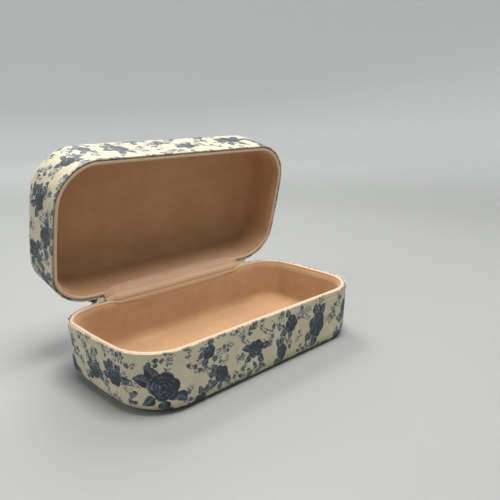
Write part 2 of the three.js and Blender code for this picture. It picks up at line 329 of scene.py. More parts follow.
def leaf(canvas, at, length, width, spin, rng, dark):
    """A pointed leaf with a toothed edge, a light vein and one half lighter than the other."""
    near, p = canvas.local(at, spin, length * 1.2)
    x = p[:, 0] / length
    bend = 0.12 * length * np.sin(math.pi * np.clip(x, 0, 1)) * rng.choice([-1.0, 1.0])
    y = p[:, 1] - bend
    body = np.clip(x, 0, 1)
    half = width / 2 * np.sin(math.pi * body ** 0.66) ** 0.75
    teeth = 0.045 * width * np.abs(np.sin(body * 16))
    ends = np.minimum(x, 1 - x) * length * 1.4
    edge = np.minimum(half - teeth * (half > 0.8) - np.abs(y), ends)
    vein = smooth(0.38, 0.1, np.abs(y)) * (x > 0.04) * (x < 0.9)
    side = smooth(0.6, 1.0, np.sin((x * length - np.abs(y) * 0.9) * 2.4))
    tone = dark - 0.12 + 0.16 * (y > 0) + 0.12 * side + 0.45 * vein + 0.1 * x
    canvas.lay(near, edge, np.clip(tone, 0, 1), 0.2)


STEM = 0.33
STEM_TONE = 0.35


def stroke(canvas, at, length, spin, thick, curl):
    """A thin stem; returns the point where it ends."""
    near, p = canvas.local(at, spin, length * 1.15)
    x = np.clip(p[:, 0], 0, length)
    bow = curl * length * (x / length) ** 2
    edge = thick * (1 - 0.25 * x / length) - np.hypot(p[:, 0] - x, p[:, 1] - bow)
    canvas.lay(near, edge, np.full(len(near), STEM_TONE), 0.0)
    tip = np.hypot(p[:, 0] - length, p[:, 1] - curl * length).argmin()
    return near[tip]


def blossom(canvas, at, size, spin):
    """A small open flower with five petals and a light heart."""
    near, p = canvas.local(at, spin, size * 1.4)
    r, angle = np.hypot(*p.T), np.arctan2(p[:, 1], p[:, 0])
    wave = np.abs(np.cos(2.5 * angle))
    edge = size * (0.52 + 0.48 * wave ** 0.8) - r
    heart = smooth(0.34 * size, 0.2 * size, r)
    tone = 0.28 + 0.45 * np.clip(r / size, 0, 1) + 0.35 * heart
    canvas.lay(near, edge, np.clip(tone, 0, 1), 0.25)


def bud(canvas, at, size, spin):
    """A closed flower with one fold."""
    near, p = canvas.local(at, spin, size * 1.6)
    x, y = p[:, 0] / size, p[:, 1] / size
    half = 0.46 * np.sin(math.pi * np.clip((x + 0.2) / 1.3, 0, 1)) ** 0.8
    edge = (half - np.abs(y)) * size
    fold = smooth(0.16, 0.04, np.abs(y - 0.18 * np.sin(2.5 * x)))
    tone = 0.1 + 0.4 * np.clip(x, 0, 1) + 0.4 * fold
    canvas.lay(near, edge, np.clip(tone, 0, 1), 0.3)


def sprig(canvas, at, length, spin, rng):
    """A stem with small leaves or dots along it and a bud or blossom at its end."""
    tip = stroke(canvas, at, length, spin, STEM, rng.uniform(-0.3, 0.3))
    for share in (0.2, 0.36, 0.52, 0.68, 0.84, 0.98):
        for side in (-1, 1):
            turn = spin + side * rng.uniform(0.5, 1.1)
            root = stroke(canvas, at, length * share, spin, 0.05, 0.1)
            if rng.random() < 0.6:
                leaf(canvas, root, rng.uniform(1.5, 2.6), rng.uniform(0.8, 1.2), turn, rng, 0.3)
            else:
                end = stroke(canvas, root, rng.uniform(0.9, 2.0), turn, 0.22, 0)
                blossom(canvas, end, rng.uniform(0.45, 0.75), 0.0)
    if rng.random() < 0.6:
        blossom(canvas, tip, rng.uniform(1.3, 2.0), rng.uniform(0, 6))
    else:
        bud(canvas, tip, rng.uniform(1.8, 2.6), spin)


def branch(canvas, at, length, spin, rng):
    """A long bent stem with broad leaves on alternate sides."""
    curl = rng.uniform(-0.4, 0.4)
    side = rng.choice([-1, 1])
    for share in (0.25, 0.45, 0.65, 0.85, 1.0):
        root = stroke(canvas, at, length * share, spin, 0.2, curl * share)
        side = -side
        turn = spin + 2 * curl * share + side * rng.uniform(0.5, 1.0) * (share < 1)
        reach = rng.uniform(2.6, 4.0)
        leaf(canvas, root, reach, reach * rng.uniform(0.6, 0.8), turn, rng, 0.22)


def posy(canvas, at, size, rng, leaves, sprigs, dark):
    """A rose over sprigs all round it and two groups of leaves."""
    turn = rng.uniform(0, 2 * math.pi)
    for k in range(sprigs):
        spin = turn + k * 2 * math.pi / sprigs + rng.uniform(-0.4, 0.4)
        root = stroke(canvas, at, size * 0.8, spin, STEM, 0)
        sprig(canvas, root, size * rng.uniform(0.8, 1.2) + 2, spin, rng)
    for k in range(leaves):
        spin = turn + (k % 2) * 2.6 + (k // 2) * 0.75 + rng.uniform(-0.2, 0.2)
        root = stroke(canvas, at, size * 0.8, spin, 0.1, 0)
        reach = size * rng.uniform(0.65, 0.9) + 1.2
        leaf(canvas, root, reach, reach * rng.uniform(0.74, 0.92), spin, rng, dark)
    rose(canvas, at, size, turn, rng)


# Roses at chosen places: distance along the rim from the middle of the front, distance down from
# the rim, and radius
POSIES = {
    "base": (
        (-69, 17, 8.5), (-95, 15, 5.5), (-12, 15, 6.0), (38, 16, 8.0), (66, 12, 5.0),
        (104, 17, 6.5), (-112, 18, 4.5), (160, 15, 6.5), (-165, 14, 7.0), (200, 17, 5.0),
    ),
    "lid": (
        (-96, 15, 5.5), (-70, 10, 4.5), (-38, 14, 6.0), (6, 11, 5.0), (44, 16, 7.0),
        (90, 13, 6.5), (128, 20, 6.0), (-124, 20, 6.0), (172, 16, 6.5), (-170, 13, 5.5),
        (215, 20, 6.0),
    ),
}

# The print's fill: the points tried and the clear space each needs, for roses and then for
# sprigs and branches, and the space one of those takes
ROSE_TRIES, ROSE_ROOM = 1500, 7.5
SPRIG_TRIES, SPRIG_ROOM, SPRIG_SPACE = 4000, 1.5, 2.4
CLEAR_OF_RIM = 6
BRANCH_SHARE = 0.2
TURN = 6.28


def paint(canvas, half_name, line, v_mm, rng):
    """Paints the print on one half. canvas.points is a grid of rows down and columns round."""
    columns = line.count
    taken = []

    def spot(u, v):
        column = int(round((u % line.length) / line.length * columns)) % columns
        return int(np.abs(v_mm - v).argmin()) * columns + column

    def free(at, gap):
        q = np.array([p for p, _ in taken])
        r = np.array([radius for _, radius in taken])
        return bool((np.linalg.norm(q - canvas.points[at], axis=1) > gap + r).all())

    for u, v, size in POSIES[half_name]:
        taken.append((canvas.points[spot(u, v)], size * 1.5))
    order = rng.permutation(len(canvas.points))
    extra = []
    for at in order[:ROSE_TRIES]:
        if free(at, ROSE_ROOM) and v_mm[at // columns] > CLEAR_OF_RIM:
            size = rng.uniform(3.8, 7.0)
            extra.append((at, size))
            taken.append((canvas.points[at], size * 1.45))
    for at in order[ROSE_TRIES:ROSE_TRIES + SPRIG_TRIES]:
        if free(at, SPRIG_ROOM):
            if rng.random() < BRANCH_SHARE:
                branch(canvas, at, rng.uniform(7, 11), rng.uniform(0, TURN), rng)
            else:
                sprig(canvas, at, rng.uniform(3.5, 6.5), rng.uniform(0, TURN), rng)
            taken.append((canvas.points[at], SPRIG_SPACE))
    for at, size in extra:
        leaves, sprigs = int(rng.integers(3, 6)), int(rng.integers(2, 4))
        posy(canvas, at, size, rng, leaves, sprigs, dark=0.38)
    for u, v, size in POSIES[half_name]:
        posy(canvas, spot(u, v), size, rng, int(rng.integers(4, 7)), sprigs=3, dark=0.28)


# ------------------------------------------------------------------ materials


def new_material(name, tint):
    """An empty node material: itself, its graph and its shader."""
    material = bpy.data.materials.new(name)
    material.use_nodes = True
    material.diffuse_color = tint
    tree = material.node_tree
    tree.nodes.clear()
    shader = tree.nodes.new("ShaderNodeBsdfPrincipled")
    out = tree.nodes.new("ShaderNodeOutputMaterial")
    tree.links.new(shader.outputs["BSDF"], out.inputs["Surface"])
    return material, Graph(tree), shader


class Graph:
    """Adds nodes to a material; each call returns an output to pass on."""

    def __init__(self, tree):
        self.tree = tree

    def link(self, value, socket):
        if isinstance(value, bpy.types.NodeSocket):
            self.tree.links.new(value, socket)
        elif isinstance(value, tuple) and len(value) == 3 and socket.type == "RGBA":
            socket.default_value = (*value, 1)
        else:
            socket.default_value = value

    def attribute(self, name):
        node = self.tree.nodes.new("ShaderNodeAttribute")
        node.attribute_name = name
        return node

    def noise(self, vector, scale, detail=3.0, rough=0.5, output="Fac"):
        node = self.tree.nodes.new("ShaderNodeTexNoise")
        node.inputs["Scale"].default_value = scale
        node.inputs["Detail"].default_value = detail
        node.inputs["Roughness"].default_value = rough
        self.link(vector, node.inputs["Vector"])
        return node.outputs[output]

    def math(self, kind, a, b=0.0, c=0.0, clamp=False):
        node = self.tree.nodes.new("ShaderNodeMath")
        node.operation = kind
        node.use_clamp = clamp
        for value, socket in zip((a, b, c), node.inputs):
            self.link(value, socket)
        return node.outputs[0]

    def vector(self, kind, a, b=(0.0, 0.0, 0.0), scale=None):
        node = self.tree.nodes.new("ShaderNodeVectorMath")
        node.operation = kind
        self.link(a, node.inputs[0])
        self.link(b, node.inputs[1])
        if scale is not None:
            node.inputs["Scale"].default_value = scale
        return node.outputs[0]

    def mix(self, fac, a, b, kind="MIX"):
        node = self.tree.nodes.new("ShaderNodeMix")
        node.data_type = "RGBA"
        node.blend_type = kind
        self.link(fac, node.inputs[0])
        self.link(a, node.inputs[6])
        self.link(b, node.inputs[7])
        return node.outputs[2]

    def ramp(self, fac, low, high, a=0.0, b=1.0):
        node = self.tree.nodes.new("ShaderNodeMapRange")
        node.interpolation_type = "SMOOTHSTEP"
        self.link(fac, node.inputs["Value"])
        for key, value in (("From Min", low), ("From Max", high), ("To Min", a), ("To Max", b)):
            node.inputs[key].default_value = value
        return node.outputs["Result"]

    def bump(self, height, distance, strength=1.0, normal=None):
        node = self.tree.nodes.new("ShaderNodeBump")
        node.inputs["Distance"].default_value = distance
        node.inputs["Strength"].default_value = strength
        self.link(height, node.inputs["Height"])
        if normal is not None:
            self.link(normal, node.inputs["Normal"])
        return node.outputs["Normal"]

    def split(self, vector):
        node = self.tree.nodes.new("ShaderNodeSeparateXYZ")
        self.link(vector, node.inputs[0])
        return node.outputs


def printed_material(name):
    """Canvas-grained leatherette: cream ground, slate print, pressed diagonal grain."""
    material, g, shader = new_material(name, (0.6, 0.56, 0.46, 1))
    place = g.attribute("place").outputs["Vector"]
    cloth = g.split(g.attribute("cloth").outputs["Vector"])
    ink = g.attribute("ink").outputs["Fac"]
    tone = g.attribute("tone").outputs["Fac"]
    wear = g.attribute("wear").outputs["Fac"]
    grain = g.noise(place, 2.6, 3.0, 0.6)
    fine = g.noise(place, 6.5, 2.0, 0.5)
    cloudy = g.noise(place, 0.055, 3.0, 0.5)
    mottled = g.noise(place, 0.35, 4.0, 0.6)
    wander = g.math("MULTIPLY", g.noise(place, 0.5, 3.0, 0.6), 2.4)
    down = g.math("ADD", cloth[0], cloth[1])
    up = g.math("SUBTRACT", cloth[0], cloth[1])
    twill = g.math("SINE", g.math("MULTIPLY", g.math("ADD", down, wander), 4.1))
    cross = g.math("SINE", g.math("MULTIPLY", g.math("ADD", up, wander), 6.1))
    warp = g.math("SINE", g.math("MULTIPLY", cloth[0], 12.5))
    thread = g.math("MULTIPLY_ADD", cross, 0.35, g.math("MULTIPLY_ADD", warp, 0.25, twill))
    hatch = g.ramp(g.math("MULTIPLY_ADD", grain, 3.6, thread), 0.2, 3.4)
    ground = g.mix(g.ramp(cloudy, 0.3, 0.7), (0.61, 0.54, 0.385), (0.69, 0.63, 0.475))
    ground = g.mix(g.ramp(mottled, 0.35, 0.75, 0.0, 0.35), ground, (0.50, 0.455, 0.335))
    ground = g.mix(hatch, g.mix(1.0, ground, (0.72, 0.705, 0.68), "MULTIPLY"), ground)
    navy = g.mix(fine, (0.009, 0.014, 0.026), (0.024, 0.036, 0.058))
    slate = g.mix(fine, (0.075, 0.118, 0.155), (0.145, 0.200, 0.240))
    shade = g.math("MULTIPLY_ADD", g.math("SUBTRACT", mottled, 0.5), 0.55, tone)
    shade = g.math("MULTIPLY_ADD", g.math("SUBTRACT", grain, 0.5), 0.25, shade)
    colour = g.mix(g.ramp(shade, 0.14, 0.80), navy, slate)
    colour = g.mix(g.ramp(shade, 0.80, 1.15, 0.0, 0.55), colour, (0.40, 0.41, 0.37))
    ragged = g.math("MULTIPLY_ADD", g.math("SUBTRACT", grain, 0.5), 0.30, ink)
    ragged = g.math("MULTIPLY_ADD", g.math("SUBTRACT", hatch, 0.5), 0.12, ragged)
    inked = g.ramp(ragged, 0.40, 0.60)
    rubbed = g.math("MULTIPLY", wear, g.ramp(grain, 0.42, 0.66), clamp=True)
    inked = g.math("MULTIPLY", inked, g.math("SUBTRACT", 1.0, g.math("MULTIPLY", rubbed, 0.55)))
    base = g.mix(g.math("MULTIPLY", inked, 0.96), ground, colour)
    base = g.mix(g.math("MULTIPLY", rubbed, 0.35), base, (0.74, 0.69, 0.58))
    g.link(base, shader.inputs["Base Color"])
    rough = g.math("MULTIPLY_ADD", grain, 0.22, g.math("MULTIPLY_ADD", inked, -0.07, 0.45))
    g.link(rough, shader.inputs["Roughness"])
    shader.inputs["Specular IOR Level"].default_value = 0.18
    shader.inputs["Sheen Weight"].default_value = 0.03
    shader.inputs["Sheen Roughness"].default_value = 0.5
    relief = g.math("MULTIPLY_ADD", grain, 1.1, g.math("MULTIPLY", thread, 0.55))
    relief = g.math("MULTIPLY_ADD", fine, 0.8, relief)
    normal = g.bump(relief, 0.00009, 0.75)
    normal = g.bump(mottled, 0.0003, 0.25, normal)
    g.link(normal, shader.inputs["Normal"])
    return material


def velour_material(name):
    """Short-pile velour over foam: nap that catches light, faint stroked patches, fine fibre, and a
    painted highlight that lightens the rolled lip.
    """
    material, g, shader = new_material(name, (0.45, 0.27, 0.16, 1))
    place = g.attribute("place").outputs["Vector"]
    lip_highlight = g.attribute("lip_highlight").outputs["Fac"]
    stroked = g.noise(g.vector("MULTIPLY", place, (0.030, 0.055, 0.045)), 1.0, 3.0, 0.55)
    patch = g.noise(place, 0.16, 4.0, 0.6)
    pile = g.noise(place, 7.0, 3.0, 0.7)
    fuzz = g.noise(g.vector("MULTIPLY", place, (3.2, 5.5, 5.5)), 1.0, 2.0, 0.6)
    nap = g.math("MULTIPLY_ADD", patch, 0.35, g.math("MULTIPLY", stroked, 0.65))
    colour = g.mix(g.ramp(nap, 0.3, 0.7), (0.425, 0.245, 0.126), (0.515, 0.316, 0.174))
    colour = g.mix(g.ramp(pile, 0.3, 0.72, 0.0, 0.5), colour, (0.61, 0.38, 0.22))
    colour = g.mix(g.ramp(fuzz, 0.58, 0.8, 0.0, 0.35), colour, (0.30, 0.15, 0.08))
    # painted highlight: the rolled lip, and the bridge at a lesser share, lightened towards pale
    # peach
    colour = g.mix(g.math("MULTIPLY", lip_highlight, 0.52), colour, (0.80, 0.66, 0.52))
    g.link(colour, shader.inputs["Base Color"])
    g.link(g.math("MULTIPLY_ADD", pile, 0.12, 0.84), shader.inputs["Roughness"])
    shader.inputs["Specular IOR Level"].default_value = 0.2
    shader.inputs["Sheen Weight"].default_value = 0.35
    shader.inputs["Sheen Roughness"].default_value = 0.45
    shader.inputs["Sheen Tint"].default_value = (0.95, 0.78, 0.62, 1)
    normal = g.bump(g.math("ADD", pile, g.math("MULTIPLY", fuzz, 0.7)), 0.00016, 0.7)
    normal = g.bump(patch, 0.0006, 0.3, normal)
    g.link(normal, shader.inputs["Normal"])
    return material


def steel_material(name, colour, rough, stretch):
    """Drawn or stamped steel: fine lines one way, smudges, a little tarnish."""
    material, g, shader = new_material(name, (*colour, 1))
    coords = g.tree.nodes.new("ShaderNodeTexCoord").outputs["Object"]
    lines = g.noise(g.vector("MULTIPLY", coords, stretch), 1.0, 3.0, 0.6)
    smudge = g.noise(coords, 160.0, 4.0, 0.6)
    dark = tuple(c * 0.62 for c in colour)
    tint = g.mix(g.ramp(lines, 0.3, 0.7), dark, colour)
    tint = g.mix(g.ramp(smudge, 0.55, 0.8, 0.0, 0.4), tint, (0.20, 0.17, 0.14))
    g.link(tint, shader.inputs["Base Color"])
    shader.inputs["Metallic"].default_value = 1.0
    g.link(g.math("MULTIPLY_ADD", smudge, 0.25, rough), shader.inputs["Roughness"])
    g.link(g.bump(lines, 0.00003, 0.5), shader.inputs["Normal"])
    return material


def floor_material():
    """A matt grey floor that turns pale where it curves up."""
    material, g, shader = new_material("studio_floor", (0.8, 0.8, 0.8, 1))
    coords = g.tree.nodes.new("ShaderNodeTexCoord").outputs["Object"]
    cloud = g.noise(coords, 3.0, 2.0, 0.5)
    away = g.tree.nodes.new("ShaderNodeVectorMath")
    away.operation = "LENGTH"
    g.link(coords, away.inputs[0])
    near = g.mix(cloud, (0.272, 0.278, 0.278), (0.294, 0.300, 0.298))
    colour = g.mix(g.ramp(away.outputs["Value"], 0.45, 1.5), near, (0.84, 0.86, 0.86))
    g.link(colour, shader.inputs["Base Color"])
    g.link(g.math("MULTIPLY_ADD", cloud, 0.1, 0.55), shader.inputs["Roughness"])
    return material


PRINTED = printed_material("printed_canvas")
PRINTED_SPINE = printed_material("printed_spine")
VELOUR = velour_material("velour")

# ------------------------------------------------------------------ covers


# The rounded edge's length for its reach, how close the last ring comes to the centre, how far a
# rim drops for the spine strip, and the steps round a rim's fold
EDGE_ARC = 1.5
COVER_CENTRE = 0.02
SPINE_DIP = 3.2
FOLD_STEPS = 6


def spans(start, end, length, step):
    """Even values from start to end, about one for each step of a length."""
    return np.linspace(start, end, max(2, round(length / step) + 1))


def back_dip(p, reach, drop, ease=1.5):
    """How far a rim drops along the hinge, at points p of the plan outline."""
    along = smooth(reach + ease, reach, np.abs(p[:, 0])) * (p[:, 1] > 0)
    return drop * along


def normals_of(grid):
    """Outward normals of a grid of points, rows down and columns round."""
    across = np.roll(grid, -1, 1) - np.roll(grid, 1, 1)
    down = np.gradient(grid, axis=0)
    n = np.cross(across, down)
    return n / np.maximum(np.linalg.norm(n, axis=2, keepdims=True), 1e-9)


def make_cover(name, half):
    """One half's printed cover, folded in round its rim, with the print on its outside."""
    line = Outline(COLUMN)
    edge = half["edge"]
    wall = half["height"] - edge[2] - RIM
    ends = 0.9 * (LENGTH / 2 - edge[0])
    v_wall = spans(0, 1, wall, COLUMN)
    v_edge = spans(1, 2, EDGE_ARC * max(edge), COLUMN)[1:]
    v_top = 3 - spans(1, COVER_CENTRE, ends, COLUMN)[1:]
    v_all = np.concatenate([v_wall, v_edge, v_top])
    plan = line.at(0)
    dip = back_dip(plan, SPINE_HALF, SPINE_DIP)
    rows = []
    fold = COVER / 2
    for turn in np.linspace(0, math.pi, FOLD_STEPS + 1)[:-1]:
        p = ring(half, line, fold - fold * math.cos(math.pi - turn), 0)
        p[:, 2] = RIM + fold - fold * math.sin(turn) + dip
        rows.append(p)
    folded = len(rows)
    for v in v_all:
        p = ring(half, line, 0, v)
        if v <= 1:
            p[:, 2] = np.maximum(p[:, 2], RIM + fold + dip + 0.02 * (v + 0.01))
        rows.append(p)
    rows = np.array(rows)
    outside = rows[folded - 1:]
    normal = normals_of(outside)
    if (normal[5, :, 1] * plan[:, 1]).sum() < 0:
        normal = -normal
    soft = ripple(outside.reshape(-1, 3), 9.0, 3 + half["side"]).reshape(outside.shape[:2])
    fade = smooth(0, 4, np.arange(len(outside)) * COLUMN)[:, None]
    rows[folded - 1:] -= normal * (0.06 * (1 + soft) * fade)[..., None]
    under = []
    for v in (3 - COVER_CENTRE, 2.6, 2.3, 2, 1.8, 1.6, 1.4, 1.2, 1, 0.6, 0.3):
        under.append(ring(half, line, COVER, v))
    neck = ring(half, line, COVER, 0)
    neck[:, 2] = RIM + fold + 1.2 + dip
    under[-1][:, 2] = np.maximum(under[-1][:, 2], neck[:, 2] + 0.5)
    rings = under + [neck] + list(rows)
    grid = rows[folded - 1:]
    v_mm = np.r_[0, np.cumsum(np.linalg.norm(np.diff(grid[:, 0], axis=0), axis=1))]
    canvas = Print(grid.reshape(-1, 3), normals_of(grid).reshape(-1, 3))
    paint(canvas, name, line, v_mm, np.random.default_rng(11 + half["side"]))
    count = line.count
    before = len(under) + folded
    total = len(rings) * count + 2
    ink, tone = np.zeros(total), np.full(total, 0.5)
    start = before * count
    ink[start:start + len(canvas.ink)] = canvas.ink
    tone[start:start + len(canvas.ink)] = canvas.tone
    for r in range(before):
        copy = slice(r * count, (r + 1) * count)
        ink[copy], tone[copy] = canvas.ink[:count], canvas.tone[:count]
    height = np.concatenate([r[:, 2] for r in rings] + [[0, 0]])
    wear = smooth(1.3, 0.2, height - RIM - np.r_[np.tile(dip, len(rings)), 0, 0])
    plan_length = np.tile(line.u, len(rings))
    down = np.repeat(np.r_[np.zeros(before), v_mm], count)
    over_top = np.r_[np.zeros(before, bool), True, v_all > 2]
    flat = np.repeat(over_top, count)
    everything = np.concatenate([np.array(rings).reshape(-1, 3), np.zeros((2, 3))])
    cloth = np.stack([
        np.where(flat, everything[:-2, 0], plan_length),
        np.where(flat, everything[:-2, 1], down),
        np.zeros(len(down)),
    ], 1)
    top = half["height"] + half["crown"]
    poles = [[0, -AXIS_Y, top - COVER], [0, -AXIS_Y, top]]
    everything[-2:] = poles
    cloth = np.concatenate([cloth, everything[-2:]])
    attributes = {"ink": ink, "tone": tone, "wear": wear, "place": everything, "cloth": cloth}
    piece = closed_body(f"{name}_printed_cover", half, rings, poles, PRINTED, attributes)
    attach(piece, name)
    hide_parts(f"{name}_cover")
    return piece


# ------------------------------------------------------------------ linings

# The lining's lip, round the rim and down inside: inset from the cover's outside, height over the
# parting plane, and how much painted highlight each ring of it gets
LIP = (
    (1.95, 1.5, 0.0), (1.75, 1.15, 0.2), (1.38, 1.0, 0.6), (1.27, 0.78, 1.0), (1.32, 0.50, 1.0),
    (1.5, 0.31, 1.0), (1.8, 0.20, 1.0), (2.15, 0.14, 1.0), (2.5, 0.15, 1.0), (2.82, 0.25, 1.0),
    (3.05, 0.45, 1.0), (3.2, 0.75, 0.8), (3.3, 1.05, 0.3), (3.28, 1.35, 0.0), (3.38, 1.6, 0.0),
    (3.6, 1.95, 0.0), (3.85, 2.5, 0.0), (4.05, 3.1, 0.0),
)
LIP_MIDDLE = 2.2
# How far the rim drops at the hinge, for the bridge to lie over it, and the length it eases over
LINING_DIP, LINING_EASE = 1.45, 11.5
# The hollow in the lining's outside for the hinge leaf: its inset and its height
POCKET_IN, POCKET_HEIGHT = 3.2, 14
# The inside's extra rounding at its edge, and how far under the lip it starts
LINING_GROW, LINING_FIRST = 2.6, 4.4


def make_lining(name, half):
    """One half's padded velour tray, with a rolled lip that dips under the bridge."""
    line = Outline(LINING_STEP)
    plan = line.at(0)
    dip = back_dip(plan, HINGE_HALF - 11, LINING_DIP, LINING_EASE)
    hidden = (dip / dip.max())[:, None]
    pocket = smooth(HINGE_HALF + 2, HINGE_HALF + 0.5, np.abs(plan[:, 0])) * (plan[:, 1] > 0)
    rings, lip_highlights = [], []

    def lip_ring(inset, height):
        p = ring(half, line, inset, 0)
        if inset > LIP_MIDDLE:
            p = p * (1 - hidden) + ring(half, line, max(inset, LINING_IN), 0) * hidden
        p[:, 2] = height + dip
        return p

    def outer(v):
        near, far = ring(half, line, LINING_OUT, v), ring(half, line, POCKET_IN, v)
        deep = pocket * (near[:, 2] < POCKET_HEIGHT)
        return near * (1 - deep[:, None]) + far * deep[:, None]

    for v in (2.98, 2.6, 2.3, 2, 1.7, 1.4, 1.2, 1, 0.8, 0.56, 0.5, 0.3, 0.12):
        rings.append(outer(v))
        lip_highlights.append(0.0)
    # the third value is this ring's share of the painted highlight
    for inset, height, share in LIP:
        rings.append(lip_ring(inset, height))
        lip_highlights.append(share)
    edge = half["edge"]
    depth = LINING_IN + 0.12
    wall = half["height"] - edge[2] - LINING_GROW
    first = LINING_FIRST / wall
    inner = list(spans(first, 1, wall * (1 - first), LINING_STEP))
    inner += list(spans(1, 2, EDGE_ARC * (max(edge) - depth + LINING_GROW), 0.7)[1:])
    inner += list(3 - spans(1, 0.03, 0.6 * LENGTH / 2, 0.9)[1:])
    for v in inner:
        p = ring(half, line, depth, v, LINING_GROW)
        if v < 1:
            p[:, 2] += dip * max(0, 1 - (p[0, 2] - 3) / 5)
        rings.append(p)
        lip_highlights.append(0.0)
    top = half["height"] + half["crown"]
    poles = [[0, -AXIS_Y, top - LINING_OUT], [0, -AXIS_Y, top - depth]]
    rings = np.array(rings)
    inside = rings[-len(inner):]
    soft = ripple(inside.reshape(-1, 3), 7.0, 9 + half["side"]).reshape(inside.shape[:2])
    normal = normals_of(inside)
    towards = np.array([0, -AXIS_Y, half["height"] * 0.4]) - inside
    normal *= np.sign((normal * towards).sum(2))[..., None]
    fade = smooth(0, 5, np.arange(len(inside)) * LINING_STEP)[:, None]
    rings[-len(inner):] += normal * (0.22 * soft * fade)[..., None]
    count = line.count
    points = np.concatenate([rings.reshape(-1, 3), poles])
    attributes = {"place": points, "lip_highlight": np.r_[np.repeat(lip_highlights, count), 0, 0]}
    piece = closed_body(f"{name}_velour_lining", half, rings, poles, VELOUR, attributes)
    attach(piece, name)
    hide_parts(f"{name}_lining")
    return piece


# ------------------------------------------------------------------ strips across the hinge


def tube(name, points, count, material, attributes):
    """A body through sections of count points each, closed at both ends. The points are in
    millimetres from the hinge's axis."""
    sections = len(points) // count
    faces = ring_faces(count, sections, False).tolist()
    faces.append(list(range(count))[::-1])
    faces.append([(sections - 1) * count + i for i in range(count)])
    world = np.stack([points[:, 0], points[:, 1] + AXIS_Y, points[:, 2] + AXIS_Z], 1) / 1000
    if signed_volume(world, faces) < 0:
        faces = [f[::-1] for f in faces]
    return make_mesh(name, world, faces, material, {"place": points, **attributes})


def strip(name, path, thickness, x, squeeze, material, extra):
    """A strip with rounded edges: path points across the hinge, repeated along x.
    squeeze(value, loop) shapes the section at value along x, and extra(cloth) gives the
    attributes, from each point's place on the flat strip."""
    path = np.array(path)
    tangent = np.gradient(path, axis=0)
    tangent /= np.linalg.norm(tangent, axis=1, keepdims=True)
    normal = np.stack([-tangent[:, 1], tangent[:, 0]], 1)
    half = thickness / 2
    turn = np.linspace(0, math.pi, 5)
    top = path + normal * half
    low = path - normal * half

    def cap(end, sign):
        across, along = normal[end] * half * sign, tangent[end] * half * sign
        return [path[end] + across * math.cos(t) + along * math.sin(t) for t in turn[1:-1]]

    loop = np.concatenate([top, cap(-1, 1), low[::-1], cap(0, -1)])
    loop_len = np.r_[0, np.cumsum(np.linalg.norm(np.diff(loop, axis=0), axis=1))]
    count = len(loop)
    points, cloth = [], []
    for value in x:
        section = squeeze(value, loop)
        points.append(np.column_stack([np.full(count, value), section]))
        cloth.append(np.column_stack([np.full(count, value), loop_len, np.zeros(count)]))
    return tube(name, np.concatenate(points), count, material, extra(np.concatenate(cloth)))


def signed_volume(points, faces):
    """The volume inside the faces, below zero if they face inwards."""
    total = 0.0
    for f in faces:
        a = points[f[0]]
        for b, c in zip(f[1:-1], f[2:]):
            total += np.dot(a, np.cross(points[b], points[c]))
    return total / 6


def polar(radius, angle):
    return [radius * math.cos(angle), radius * math.sin(angle)]


def opened(y, z):
    """A place on the closed lid, from the hinge's axis, once the lid stands open."""
    c, s = math.cos(OPEN_ANGLE), math.sin(OPEN_ANGLE)
    return [y * c + z * s, -y * s + z * c]


def closed_again(y, z):
    """The way back from opened."""
    c, s = math.cos(OPEN_ANGLE), math.sin(OPEN_ANGLE)
    return [y * c - z * s, y * s + z * c]


def across_hinge(radius_at, steps, start, end):
    """Points round the hinge's axis from angle start to angle end."""
    return [polar(radius_at(t), start + (end - start) * t) for t in np.linspace(0, 1, steps)]


def blended(piece):
    """Bakes a piece's placement into its points."""
    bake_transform(piece)


# The bridge: its hems inside each half, as inset and depth; the height over the parting plane at
# which its span starts; its thickness; and where it narrows, in from its ends
BRIDGE_HEM = ((0.34, 4.6), (0.24, 3.6), (0.14, 2.6), (0.24, 1.75))
BRIDGE_START = 1.1
BRIDGE_THICK = 0.8
BRIDGE_NARROW = HINGE_HALF - 24
BRIDGE_TUCK = HINGE_HALF - 6.5


def make_bridge():
    """The velour that runs on over the hinge, in soft lengthwise folds."""
    inner = AXIS_BEHIND + LINING_IN
    base_side = math.pi + math.atan2(BRIDGE_START, inner - 0.5)
    lid_side = math.pi - math.atan2(BRIDGE_START, inner - 0.5) - OPEN_ANGLE

    def radius(t):
        folds = 0.26 * math.cos(2 * math.pi * (t - 0.2) * 1.6) * math.sin(math.pi * t) ** 0.6
        return inner - 0.45 - 0.65 * math.sin(math.pi * t) ** 1.5 + folds

    path = [[-inner + a, -h] for a, h in BRIDGE_HEM]
    path += across_hinge(radius, 31, base_side, lid_side)
    path += [opened(-inner + a, h) for a, h in BRIDGE_HEM[::-1]]
    x = np.concatenate([
        np.linspace(-STRIP_END, -HINGE_HALF + 7, 16),
        np.linspace(-HINGE_HALF + 8, HINGE_HALF - 8, 100),
        np.linspace(HINGE_HALF - 7, STRIP_END, 16),
    ])

    def draw_back(y, z, share):
        return y, np.where(z > BRIDGE_START, BRIDGE_START + (z - BRIDGE_START) * share, z)

    def squeeze(value, loop):
        near_end = smooth(BRIDGE_TUCK, STRIP_END, abs(value))
        share = 1 - 0.42 * smooth(BRIDGE_NARROW, BRIDGE_TUCK, abs(value)) - 0.48 * near_end
        y, z = draw_back(loop[:, 0], -loop[:, 1], share)
        y, z = draw_back(*closed_again(y, -z), share)
        loop = np.stack(opened(y, z), 1)
        r = np.linalg.norm(loop, axis=1, keepdims=True)
        wave = 0.12 * math.sin(value * 0.13 + 1) + 0.07 * math.sin(value * 0.31)
        a = np.arctan2(loop[:, 1], loop[:, 0]) % (2 * math.pi)
        middle = np.sin(np.clip((a - lid_side) / (base_side - lid_side), 0, 1) * math.pi)[:, None]
        return loop * (1 + (wave * middle - 0.6 * near_end * middle - 1.7 * near_end) / r)

    def extra(cloth):
        # painted highlight over the whole bridge, a little under half the rolled edge's
        return {"lip_highlight": np.full(len(cloth), 0.45)}

    piece = strip("velour_bridge", path, BRIDGE_THICK, x, squeeze, VELOUR, extra)
    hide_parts("lining_bridge")
    blended(piece)


